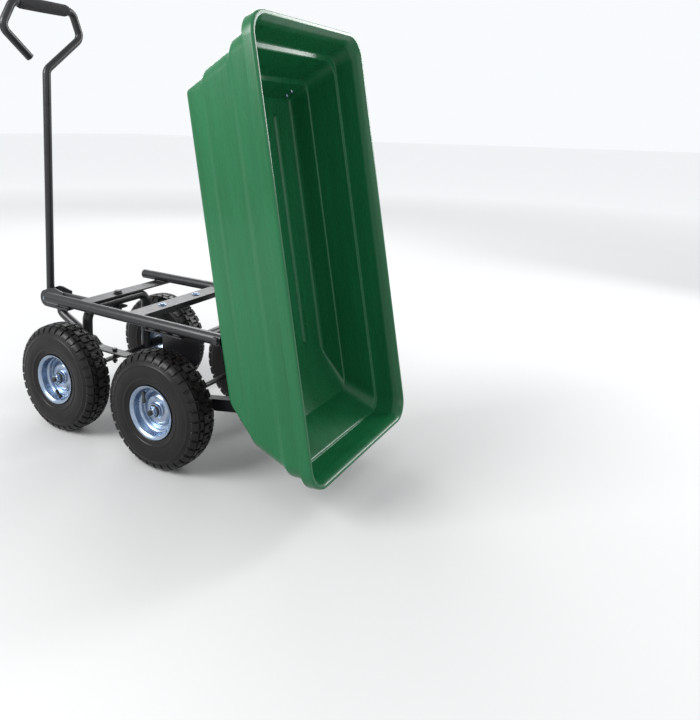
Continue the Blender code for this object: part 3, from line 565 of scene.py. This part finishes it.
# ---- wheels -------------------------------------------------------------------------------
def tyre_half_profile():
    """Carcass from the crown to the bead: radius, y, and how high each row of lugs stands."""
    crown = [
        (0.1256, 0.0000, "centre", 1.0),
        (0.1255, 0.0098, "centre", 1.0),
        (0.1254, 0.0106, "none", 0.0),
        (0.1253, 0.0124, "none", 0.0),
        (0.1251, 0.0132, "middle", 1.0),
        (0.1242, 0.0206, "middle", 1.0),
        (0.1238, 0.0214, "none", 0.0),
        (0.1230, 0.0232, "none", 0.0),
        (0.1223, 0.0242, "shoulder", 0.95),
        (0.1200, 0.0276, "shoulder", 0.90),
        (0.1170, 0.0304, "shoulder", 0.75),
        (0.1138, 0.0326, "shoulder", 0.50),
        (0.1118, 0.0337, "none", 0.0),
    ]
    side_points = [
        (0.1118, 0.0337),
        (0.1062, 0.0360),
        (0.1050, 0.0369),
        (0.1034, 0.0371),
        (0.1020, 0.0367),
        (0.0920, 0.0378),
        (0.0830, 0.0374),
        (0.0760, 0.0360),
        (0.0745, 0.0366),
        (0.0715, 0.0362),
        (0.0700, 0.0348),
        (0.0650, 0.0332),
        (0.0612, 0.0316),
        (0.0590, 0.0290),
        (0.0548, 0.0262),
    ]
    side = round_corners(side_points, 0.0016, 3)[1:]
    return crown + [(r, y, "none", 0.0) for r, y in side]


def lug_level(row, side, part):
    """1 on a lug and 0 in the gap behind it. Each row's lugs are staggered across the crown."""
    late = side > 0 if row == "shoulder" else (side > 0) == (row == "middle")
    raised = part > 0.54 or part < 0.28 if late else 0.04 < part < 0.78
    return 1.0 if raised else 0.0


def build_tyre(corner, centre, body):
    half = tyre_half_profile()
    profile = [(r, y, row, level, 1) for r, y, row, level in half[::-1]]
    profile += [(r, -y, row, level, -1) for r, y, row, level in half[1:]]
    rings = []
    for lug in range(LUG_COUNT):
        for part in LUG_STEPS:
            angle = math.tau * (lug + part) / LUG_COUNT
            ring = []
            for r, y, row, level, side in profile:
                rise = 0.0
                if row != "none":
                    rise = LUG_HEIGHT * level * lug_level(row, side, part)
                share = (abs(y) - LUG_LEAN_START) / LUG_LEAN_SPAN
                lean = LUG_LEAN_RAD * min(1.0, max(0.0, share))
                outward = r + rise * math.cos(lean)
                across = y + side * rise * math.sin(lean)
                ring.append((outward * math.sin(angle), across, -outward * math.cos(angle)))
            rings.append(ring)
    tyre = skin_piece("tyre_look_" + corner, rings, "tyre_rubber", body, closed=True,
                      smooth_deg=28.0, place=Matrix.Translation(centre))
    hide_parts("tyre_" + corner)


def rim_outline():
    """Pressed rim section as an open line round the sheet, softened at every fold."""
    tyre_side = [(0.0592, 0.0318), (0.0560, 0.0300), (0.0535, 0.0275), (0.0515, 0.0120),
                 (0.0475, 0.0090)]
    back = [(0.0450, -0.0105), (0.0492, -0.0135), (0.0512, -0.0292), (0.0582, -0.0326)]
    disc_back = [(0.0450, 0.0004), (0.0370, 0.0004), (0.0280, 0.0085), (0.0168, 0.0085)]
    disc = [(0.0168, 0.0110), (0.0230, 0.0112), (0.0290, 0.0108), (0.0380, 0.0030), (0.0450, 0.0030)]
    face = [(0.0450, 0.0105), (0.0492, 0.0135), (0.0512, 0.0292), (0.0560, 0.0326), (0.0590, 0.0332)]
    other_side = [(r, -y) for r, y in tyre_side[::-1]]
    outline = tyre_side + other_side + back[::-1] + disc_back + disc + face
    return round_corners(outline, 0.0016, 3)


def build_rim(corner, centre, sign, body):
    profile = [(r, sign * y) for r, y in rim_outline()]
    rim = revolved_piece("rim_look_" + corner, profile, centre, "zinc_steel", body)
    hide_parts("rim_" + corner)


def build_hub(corner, centre, sign, body):
    """Plastic bush round the axle, with a steel collar that carries the disc."""
    bore = AXLE_R + 2 * RUNNING_FIT
    bush = [
        (bore, -0.0585), (0.0108, -0.0585), (0.0115, -0.0578), (0.0128, 0.0060), (0.0132, 0.0120),
        (0.0132, 0.0214), (0.0124, 0.0225), (0.0092, 0.0225), (0.0088, 0.0216), (bore, 0.0216),
    ]
    hub = revolved_piece("hub_look_" + corner, [(r, sign * y) for r, y in bush], centre,
                         "black_plastic", body, 48)
    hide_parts("hub_" + corner)
    collar = [
        (0.0134, -0.0200), (0.0160, -0.0200), (0.0162, 0.0100), (0.0186, 0.0113), (0.0182, 0.0124),
        (0.0164, 0.0135), (0.0162, 0.0188), (0.0156, 0.0196), (0.0138, 0.0196), (0.0134, 0.0190),
    ]
    revolved_piece("hub_collar_" + corner, [(r, sign * y) for r, y in collar], centre,
                   "zinc_steel", body, 64)


def build_valve(corner, centre, sign, body):
    """Rubber stem leaning in from the rim, with a ridged cap."""
    angle = math.radians(VALVE_ANGLE_DEG[corner.split("_")[0]])
    outward = Vector((math.cos(angle), 0, math.sin(angle)))
    base = Vector(centre) + outward * VALVE_BASE_R + Vector((0, sign * VALVE_BASE_Y, 0))
    lean = (Vector((0, sign * VALVE_LEAN, 0)) - outward).normalized()
    steps = [(0.0, 0.0044, "round"), (0.0022, 0.0048, "round"), (0.0050, 0.0042, "round"),
             (0.0085, 0.0031, "round"), (0.0142, 0.0029, "round"), (0.0144, 0.0036, "round")]
    for ridge in range(4):
        at = 0.0156 + 0.0019 * ridge
        steps += [(at, 0.0037, "round"), (at + 0.0008, 0.0037, "round"),
                  (at + 0.0012, 0.0033, "round")]
    steps += [(0.0234, 0.0034, "round"), (0.0240, 0.0028, "round")]
    valve = turned_piece("valve_look_" + corner, base, lean, steps, "soft_rubber", body)
    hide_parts("valve_" + corner)


def build_wheels():
    for corner in ("front_left", "front_right", "rear_left", "rear_right"):
        centre = JOINTS["roll_" + corner]["pos_m"]
        sign = 1 if corner.endswith("left") else -1
        body = "wheel_" + corner
        build_tyre(corner, centre, body)
        build_rim(corner, centre, sign, body)
        build_hub(corner, centre, sign, body)
        build_valve(corner, centre, sign, body)


# ---- tub ----------------------------------------------------------------------------------
def tub_place():
    """From the tub's level position about its hinge to where it stands, tipped."""
    joint = JOINTS["tub_tip"]
    tip = Matrix.Rotation(math.radians(-joint["range_deg"][1]), 4, "Y")
    return Matrix.Translation(joint["pos_m"]) @ tip


def tub_ring(height, front, rear, half, radius):
    """One level of the tub: a rectangle with rounded corners."""
    corners = [(front - radius, half - radius, 0), (rear + radius, half - radius, 90),
               (rear + radius, -half + radius, 180), (front - radius, -half + radius, 270)]
    ring = []
    for cx, cy, start in corners:
        for i in range(TUB_CORNER_STEPS + 1):
            angle = math.radians(start + 90 * i / TUB_CORNER_STEPS)
            ring.append((cx + radius * math.cos(angle), cy + radius * math.sin(angle), height))
    return ring


def tub_levels():
    """Every level from the underside over the rolled rim and down the inside to the floor."""
    outside = round_corners(TUB_OUTER + TUB_RIM[:1], TUB_EDGE_REACH)
    rim = round_corners(TUB_RIM, TUB_LIP_REACH)
    inside = round_corners(TUB_RIM[-1:] + TUB_INNER, TUB_EDGE_REACH)
    return outside[:-1] + rim + inside[1:]


def union(piece, other):
    """Join another solid to a piece by an exact Boolean, and drop the other."""
    modifier = piece.modifiers.new("union", "BOOLEAN")
    modifier.operation = "UNION"
    modifier.solver = "EXACT"
    modifier.object = other
    depsgraph = bpy.context.evaluated_depsgraph_get()
    depsgraph.update()
    mesh = bpy.data.meshes.new_from_object(piece.evaluated_get(depsgraph))
    piece.modifiers.clear()
    piece.data = mesh
    bpy.data.objects.remove(other)


def build_floor_rib(y):
    """One raised stiffening rib along the tub's floor, rounded at its ends and top."""
    levels = [(TUB_FLOOR_TOP - 0.0015, 0.0), (TUB_FLOOR_TOP + 0.0006, 0.0008),
              (TUB_FLOOR_TOP + RIB_HEIGHT - 0.0010, 0.0034), (TUB_FLOOR_TOP + RIB_HEIGHT, 0.0050)]
    rings = []
    for height, inset in levels:
        half = RIB_HALF_WIDTH - inset
        ring = []
        for end, start in ((RIB_ENDS[1], -90), (RIB_ENDS[0], 90)):
            centre = end - math.copysign(RIB_HALF_WIDTH, end)
            for i in range(13):
                angle = math.radians(start + 15 * i)
                ring.append((centre + half * math.cos(angle), y + half * math.sin(angle), height))
        rings.append(ring)
    return skin_piece("rib", rings, "green_plastic", "tub_body", place=tub_place())


def build_tub():
    rings = [tub_ring(*level) for level in tub_levels()]
    tub = skin_piece("tub_look", rings, "green_plastic", "tub_body", place=tub_place())
    for i in range(RIB_COUNT):
        union(tub, build_floor_rib((i - (RIB_COUNT - 1) / 2) * RIB_PITCH))
    tub.data.shade_smooth()
    tub.data.set_sharp_from_angle(angle=math.radians(35.0))
    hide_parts("tub")


# ---- frame tubes --------------------------------------------------------------------------
def build_rails():
    for side, sign in (("left", 1), ("right", -1)):
        low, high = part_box("rail_" + side)
        z = (low.z + high.z) / 2
        y = sign * RAIL_Y
        rail = tube_piece("rail_look_" + side, [(high.x, y, z), (low.x, y, z)], (0, 0, 1),
                          TUBE_R, TUBE_BORE_R, "frame")
        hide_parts("rail_" + side)
        build_rail_cap(side, high.x, y, z)


def build_rail_cap(side, rail_end, y, z):
    """Domed plug in the front end of a rail."""
    low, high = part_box("rail_cap_" + side)
    neck = rail_end - low.x + CAP_REACH
    dome = 0.94 * (high.x - rail_end)
    steps = [(0.0, TUBE_BORE_R - CAP_PLAY, "round"), (neck, TUBE_BORE_R - CAP_PLAY, "round")]
    for k in range(7):
        angle = math.radians(90 * k / 6)
        radius = TUBE_R * (0.45 + 0.55 * math.cos(angle))
        steps.append((neck + dome * math.sin(angle), radius, "round"))
    cap = turned_piece("rail_cap_look_" + side, (low.x, y, z), (1, 0, 0), steps, "black_plastic",
                       "frame")
    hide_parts("rail_cap_" + side)


def build_forks():
    for name, body in (("front_fork", "steering"), ("rear_fork", "frame")):
        low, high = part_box(name)
        x = (low.x + high.x) / 2
        top = high.z - TUBE_R
        corners = [(x, FORK_LEG_Y, FORK_FOOT_Z), (x, FORK_LEG_Y, top), (x, -FORK_LEG_Y, top),
                   (x, -FORK_LEG_Y, FORK_FOOT_Z)]
        fork = tube_piece(name + "_look", arc_path(corners, FORK_BEND_R, 14), (1, 0, 0),
                          TUBE_R, TUBE_BORE_R, body)
        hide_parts(name)


def pressed_ring(centre, tangent, half_width, half_height):
    """Section across a tube in the XZ plane: round, or boxy where it is pressed wider."""
    power = 1.0 if half_width <= TUBE_R + 1e-6 else 0.5
    up = Vector((-tangent.z, 0, tangent.x)).normalized()
    ring = []
    for i in range(TUBE_SIDES):
        angle = math.tau * i / TUBE_SIDES
        c = math.cos(angle)
        s = math.sin(angle)
        across = math.copysign(abs(c) ** power, c) * half_width
        rise = math.copysign(abs(s) ** power, s) * half_height
        ring.append(Vector(centre) + Vector((0, across, 0)) + up * rise)
    return ring


def pressed_tube(name, stations, body, node):
    """A solid-ended tube through stations of x, z, half width and half height, in the XZ plane."""
    line = round_corners(stations, 0.010, 4)
    rings = []
    for i, (x, z, half_width, half_height) in enumerate(line):
        before = line[max(i - 1, 0)]
        after = line[min(i + 1, len(line) - 1)]
        tangent = Vector((after[0] - before[0], 0, after[1] - before[1])).normalized()
        rings.append(pressed_ring((x, 0, z), tangent, half_width, half_height))
    piece = skin_piece(name, rings, "black_paint", body, smooth_deg=50.0)
    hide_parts(node)


def build_drawbar():
    """Drawbar: pressed flat under the front cross bar for the kingpin, round from there on."""
    low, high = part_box("drawbar")
    plate_z = high.z - PLATE_HALF
    z = low.z + TUBE_R
    kingpin_x = JOINTS["steer"]["pos_m"][0]
    pressed_tube("drawbar_look", [
        (low.x, plate_z, 0.0145, PLATE_HALF),
        (low.x + 0.004, plate_z, 0.0185, PLATE_HALF),
        (kingpin_x + 0.022, plate_z, 0.0185, PLATE_HALF),
        (kingpin_x + 0.034, plate_z - 0.004, 0.0155, 0.0065),
        (kingpin_x + 0.048, z, TUBE_R, TUBE_R),
        (high.x, z, TUBE_R, TUBE_R),
    ], "steering", "drawbar")


def build_strut():
    """Lower strut: flat on the front axle, up to the underside of the handle bracket."""
    low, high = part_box("lower_strut")
    plate_z = low.z + PLATE_HALF
    top_x = high.x - TUBE_R
    pressed_tube("lower_strut_look", [
        (low.x, plate_z, 0.0140, PLATE_HALF),
        (low.x + 0.004, plate_z, 0.0180, PLATE_HALF),
        (low.x + 0.110, plate_z, 0.0180, PLATE_HALF),
        (low.x + 0.122, plate_z + 0.003, 0.0150, 0.0065),
        (low.x + 0.136, 0.1520, TUBE_R, TUBE_R),
        (top_x - 0.013, 0.2020, TUBE_R, TUBE_R),
        (top_x, 0.2110, TUBE_R, TUBE_R),
        (top_x, high.z, TUBE_R, TUBE_R),
    ], "steering", "lower_strut")


# ---- handle -------------------------------------------------------------------------------
def handle_place():
    lean = Matrix.Rotation(math.radians(HANDLE_LEAN_DEG), 4, "Y")
    return Matrix.Translation(JOINTS["handle_swing"]["pos_m"]) @ lean


def build_handle():
    """Bent handle tube with its open D loop, the eye at its foot, and the grip."""
    corners = [(0, 0, 0.004), (0, 0, 0.624), (0, -0.119, 0.718), (0, -0.090, GRIP_HEIGHT),
               (0, 0.102, GRIP_HEIGHT), (0, 0.136, 0.720), (0, 0.052, 0.652)]
    path = arc_path(corners, HANDLE_BEND_R, 12)
    tube = tube_piece("handle_tube_look", path, (1, 0, 0), HANDLE_R, HANDLE_BORE_R, "handle",
                      handle_place())
    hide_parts("handle_tube")
    eye = [(0.0043, -0.0112), (0.0104, -0.0112), (0.0112, -0.0104), (0.0112, 0.0104),
           (0.0104, 0.0112), (0.0043, 0.0112)]
    revolved_piece("handle_eye", eye, JOINTS["handle_swing"]["pos_m"], "black_paint", "handle", 48)
    build_grip()


def build_grip():
    """Foam sleeve, a little fuller in the middle, with rolled ends."""
    profile = [(HANDLE_R + RUNNING_FIT, -GRIP_HALF), (GRIP_R - GRIP_MOUTH, -GRIP_HALF)]
    for k in range(25):
        share = -1 + 2 * k / 24
        end_roll = GRIP_ROLL * max(0.0, (abs(share) - 0.94) / 0.06) ** 2
        swell = GRIP_SWELL * (math.cos(share * math.pi / 2) - 1)
        profile.append((GRIP_R + swell - end_roll, share * (GRIP_HALF - 0.0004)))
    profile += [(GRIP_R - GRIP_MOUTH, GRIP_HALF), (HANDLE_R + RUNNING_FIT, GRIP_HALF)]
    middle = handle_place() @ Vector((0, GRIP_MIDDLE_Y, GRIP_HEIGHT))
    grip = revolved_piece("handle_grip_look", profile, middle, "grip_foam", "handle", 48, 50.0)
    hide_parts("handle_grip")


# ---- fasteners ----------------------------------------------------------------------------
def thread_steps(start, end, radius):
    """Turned steps of a threaded stretch."""
    steps = []
    turns = max(1, int((end - start) / THREAD_PITCH))
    width = (end - start) / turns
    for i in range(turns):
        at = start + (end - start) * i / turns
        steps.append((at, radius, "round"))
        steps.append((at + width * 0.45, radius - THREAD_DEPTH, "round"))
    steps.append((end, radius - 0.0003, "round"))
    return steps


def node_span(node, axis):
    """Where a solid starts along an axis through its middle, and its length along it."""
    low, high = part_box(node)
    length = abs((high - low).dot(Vector(axis)))
    return (low + high) / 2 - Vector(axis) * length / 2, length


def build_bolt(node, axis, head, washer, shank_r, nut_at=None):
    """A hex bolt in place of its solid, head first along the axis, over the solid's length.

    The head and the washer are each a radius and a height.
    """
    start, length = node_span(node, axis)
    head_r, head_h = head
    washer_r, washer_h = washer
    steps = [(0.0, head_r * 0.80, "round"), (head_h * 0.16, head_r * 0.97, "hex"),
             (head_h, head_r, "hex")]
    if washer_r:
        steps += [(head_h, washer_r, "round"), (head_h + washer_h, washer_r, "round")]
    shank_start = head_h + washer_h
    steps.append((shank_start, shank_r, "round"))
    if nut_at is None:
        steps += thread_steps(shank_start + 0.004, length, shank_r)
    else:
        steps += [(nut_at, shank_r, "round"), (nut_at, 0.0072, "hex"),
                  (nut_at + 0.0052, 0.0072, "hex"), (nut_at + 0.0060, 0.0060, "round"),
                  (nut_at + 0.0060, shank_r, "round")]
        steps += thread_steps(nut_at + 0.0062, length, shank_r)
    bolt = turned_piece(node + "_look", start, axis, steps, SLOT_OF[node], BODY_OF[node])
    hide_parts(node)


def build_nut(node, axis, radius, bolt_r, flange=None):
    """A nylon-insert nut round its bolt, in place of its solid. The axis points outwards."""
    start, length = node_span(node, axis)
    direction = Vector(axis)
    bore = bolt_r + RUNNING_FIT
    foot = 0.0
    rings = []
    if flange:
        flange_r, foot = flange
        rings.append(ring_round(start, axis, flange_r))
        rings.append(ring_round(start + direction * foot, axis, flange_r))
    rings.append(ring_hex(start + direction * foot, axis, radius))
    rings.append(ring_hex(start + direction * length * 0.72, axis, radius))
    for share, narrowing in ((0.80, 0.84), (0.97, 0.78), (1.00, 0.70)):
        rings.append(ring_round(start + direction * length * share, axis, radius * narrowing))
    rings.append(ring_round(start + direction * length, axis, bore))
    rings.append(ring_round(start, axis, bore))
    nut = skin_piece(node + "_look", rings, SLOT_OF[node], BODY_OF[node], closed=True)
    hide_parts(node)


def build_axles():
    """Round axles with chamfered, threaded ends."""
    axis = (0, 1, 0)
    tip_r = AXLE_R - 0.0014
    thread_r = AXLE_R - 0.0001
    for node in ("front_axle", "rear_axle"):
        start, length = node_span(node, axis)
        steps = [(0.0, tip_r, "round")] + thread_steps(0.0012, AXLE_THREAD, thread_r)
        steps += [(AXLE_THREAD + 0.001, AXLE_R, "round"),
                  (length - AXLE_THREAD - 0.001, AXLE_R, "round")]
        steps += thread_steps(length - AXLE_THREAD, length - 0.0012, thread_r)
        steps.append((length, tip_r, "round"))
        axle = turned_piece(node + "_look", start, axis, steps, SLOT_OF[node], BODY_OF[node])
        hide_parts(node)


def build_fasteners():
    down = (0, 0, -1)
    right = (0, -1, 0)
    no_washer = (0.0, 0.0)
    axle_flange = (0.0118, 0.0016)
    for side, sign in (("left", 1), ("right", -1)):
        outward = (0, sign, 0)
        inward = (0, -sign, 0)
        build_bolt("cross_bolt_" + side, down, (0.0068, 0.0031), (0.0095, 0.0015), BOLT_R)
        build_bolt("hinge_bolt_" + side, inward, SMALL_HEAD, (0.0095, 0.0014), BOLT_R)
        build_nut("front_axle_nut_" + side, outward, 0.0105, AXLE_R, axle_flange)
        build_nut("rear_axle_nut_" + side, outward, 0.0105, AXLE_R, axle_flange)
    build_bolt("kingpin_bolt", down, (0.0100, 0.0060), (0.0125, 0.0015), AXLE_R)
    build_nut("kingpin_nut", down, 0.0098, AXLE_R)
    build_bolt("strut_bolt", down, SMALL_HEAD, no_washer, BOLT_R, nut_at=0.0300)
    build_bolt("handle_bolt", right, SMALL_HEAD, no_washer, BOLT_R)
    build_nut("handle_bolt_nut", right, 0.0074, BOLT_R)
    build_axles()


# ---- welds --------------------------------------------------------------------------------
def build_welds():
    """Beads where the cross bars, hangers and rear fork meet the rails and each other."""
    bar_low, bar_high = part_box("front_cross_bar")
    channel_low, channel_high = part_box("mid_cross_channel")
    fork_low, fork_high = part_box("rear_fork")
    fork_x = (fork_low.x + fork_high.x) / 2
    bar_z = bar_high.z + 0.0010
    channel_z = channel_high.z - 0.0002
    for side, sign in (("left", 1), ("right", -1)):
        for edge in (-1, 1):
            y = sign * RAIL_Y + edge * WELD_EDGE
            tag = "%s_%s" % (side, "outer" if edge * sign > 0 else "inner")
            weld_bead("weld_front_bar_" + tag, (bar_low.x + 0.002, y, bar_z),
                      (bar_high.x - 0.002, y, bar_z), BAR_WELD_R, "frame")
        y = sign * (RAIL_Y - 0.0118)
        weld_bead("weld_channel_" + side, (channel_low.x + 0.001, y, channel_z),
                  (channel_high.x - 0.001, y, channel_z), WELD_R, "frame")
        hanger_low, hanger_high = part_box("rear_hanger_" + side)
        y = sign * (RAIL_Y + WELD_EDGE)
        z = hanger_high.z + 0.0010
        for number in range(3):
            start = hanger_low.x + 0.008 + number * HANGER_WELD_PITCH
            weld_bead("weld_hanger_%s_%d" % (side, number + 1), (start, y, z),
                      (start + HANGER_WELD_LENGTH, y, z), WELD_R, "frame")
        y = sign * (FORK_LEG_Y + 0.0118)
        for edge in (-1, 1):
            tag = "%s_%s" % (side, "front" if edge > 0 else "rear")
            x = fork_x + edge * 0.0062
            weld_bead("weld_fork_" + tag, (x, y, hanger_low.z + 0.003), (x, y, fork_high.z - 0.036),
                      WELD_R, "frame")


# ---- pieces that keep their solids --------------------------------------------------------
def soften_sheets():
    """Every solid that no smooth piece has replaced. The small fasteners get narrower edges."""
    for node, piece in NODES.items():
        if not piece.hide_render:
            small = node.startswith(("tub_bolt", "latch_pin"))
            soften_sheet(node, SMALL_EDGE if small else SHEET_EDGE)


# ---- stage --------------------------------------------------------------------------------
def build_stage():
    half = FLOOR_HALF
    corners = [(-half, -half, 0), (half, -half, 0), (half, half, 0), (-half, half, 0)]
    mesh = bpy.data.meshes.new("floor")
    mesh.from_pydata(corners, [], [(0, 1, 2, 3)])
    mesh.materials.append(floor_material())
    floor = bpy.data.objects.new("floor", mesh)
    bpy.context.scene.collection.objects.link(floor)


def add_area_light(name, place, target, size, power):
    light = bpy.data.lights.new(name, "AREA")
    light.shape = "RECTANGLE"
    light.size, light.size_y = size
    light.energy = power
    lamp = bpy.data.objects.new(name, light)
    bpy.context.scene.collection.objects.link(lamp)
    lamp.location = place
    lamp.rotation_euler = (Vector(target) - Vector(place)).to_track_quat("-Z", "Y").to_euler()


def build_lights():
    """A white room, three soft boxes, and a strip that the tub's lip and ledges mirror."""
    world = bpy.data.worlds.new("studio")
    bpy.context.scene.world = world
    world.use_nodes = True
    background = world.node_tree.nodes["Background"]
    background.inputs["Color"].default_value = (0.96, 0.98, 1.0, 1.0)
    background.inputs["Strength"].default_value = 0.98
    add_area_light("key", (1.1, 2.5, 2.2), CART_MIDDLE, SOFT_LIGHT, 138.0)
    add_area_light("back", (1.8, -2.4, 2.2), CART_MIDDLE, SOFT_LIGHT, 40.0)
    add_area_light("fill", (-2.6, 1.4, 1.6), CART_MIDDLE, SOFT_LIGHT, 10.0)
    add_area_light("ledge_strip", (-1.25, -2.1, 1.55), TUB_LEDGES, STRIP_LIGHT, 36.0)


def build_camera():
    yaw = math.radians(CAMERA_YAW_DEG)
    pitch = math.radians(CAMERA_PITCH_DEG)
    roll = math.radians(CAMERA_ROLL_DEG)
    ahead = Vector((math.cos(yaw) * math.cos(pitch), math.sin(yaw) * math.cos(pitch),
                    -math.sin(pitch)))
    level_right = Vector((math.sin(yaw), -math.cos(yaw), 0))
    level_up = level_right.cross(ahead)
    right = math.cos(roll) * level_right + math.sin(roll) * level_up
    up = math.cos(roll) * level_up - math.sin(roll) * level_right
    data = bpy.data.cameras.new("camera")
    data.sensor_width = 36.0
    data.lens = CAMERA_LENS_MM
    data.shift_x, data.shift_y = CAMERA_SHIFT
    camera = bpy.data.objects.new("camera", data)
    bpy.context.scene.collection.objects.link(camera)
    turn = Matrix((right, up, -ahead)).transposed().to_4x4()
    camera.matrix_world = Matrix.Translation(CAMERA_PLACE) @ turn
    bpy.context.scene.camera = camera
    bpy.context.scene.view_settings.view_transform = "Standard"


build_camera()
build_lights()
build_stage()
build_wheels()
build_tub()
build_rails()
build_forks()
build_drawbar()
build_strut()
build_handle()
build_fasteners()
build_welds()
soften_sheets()
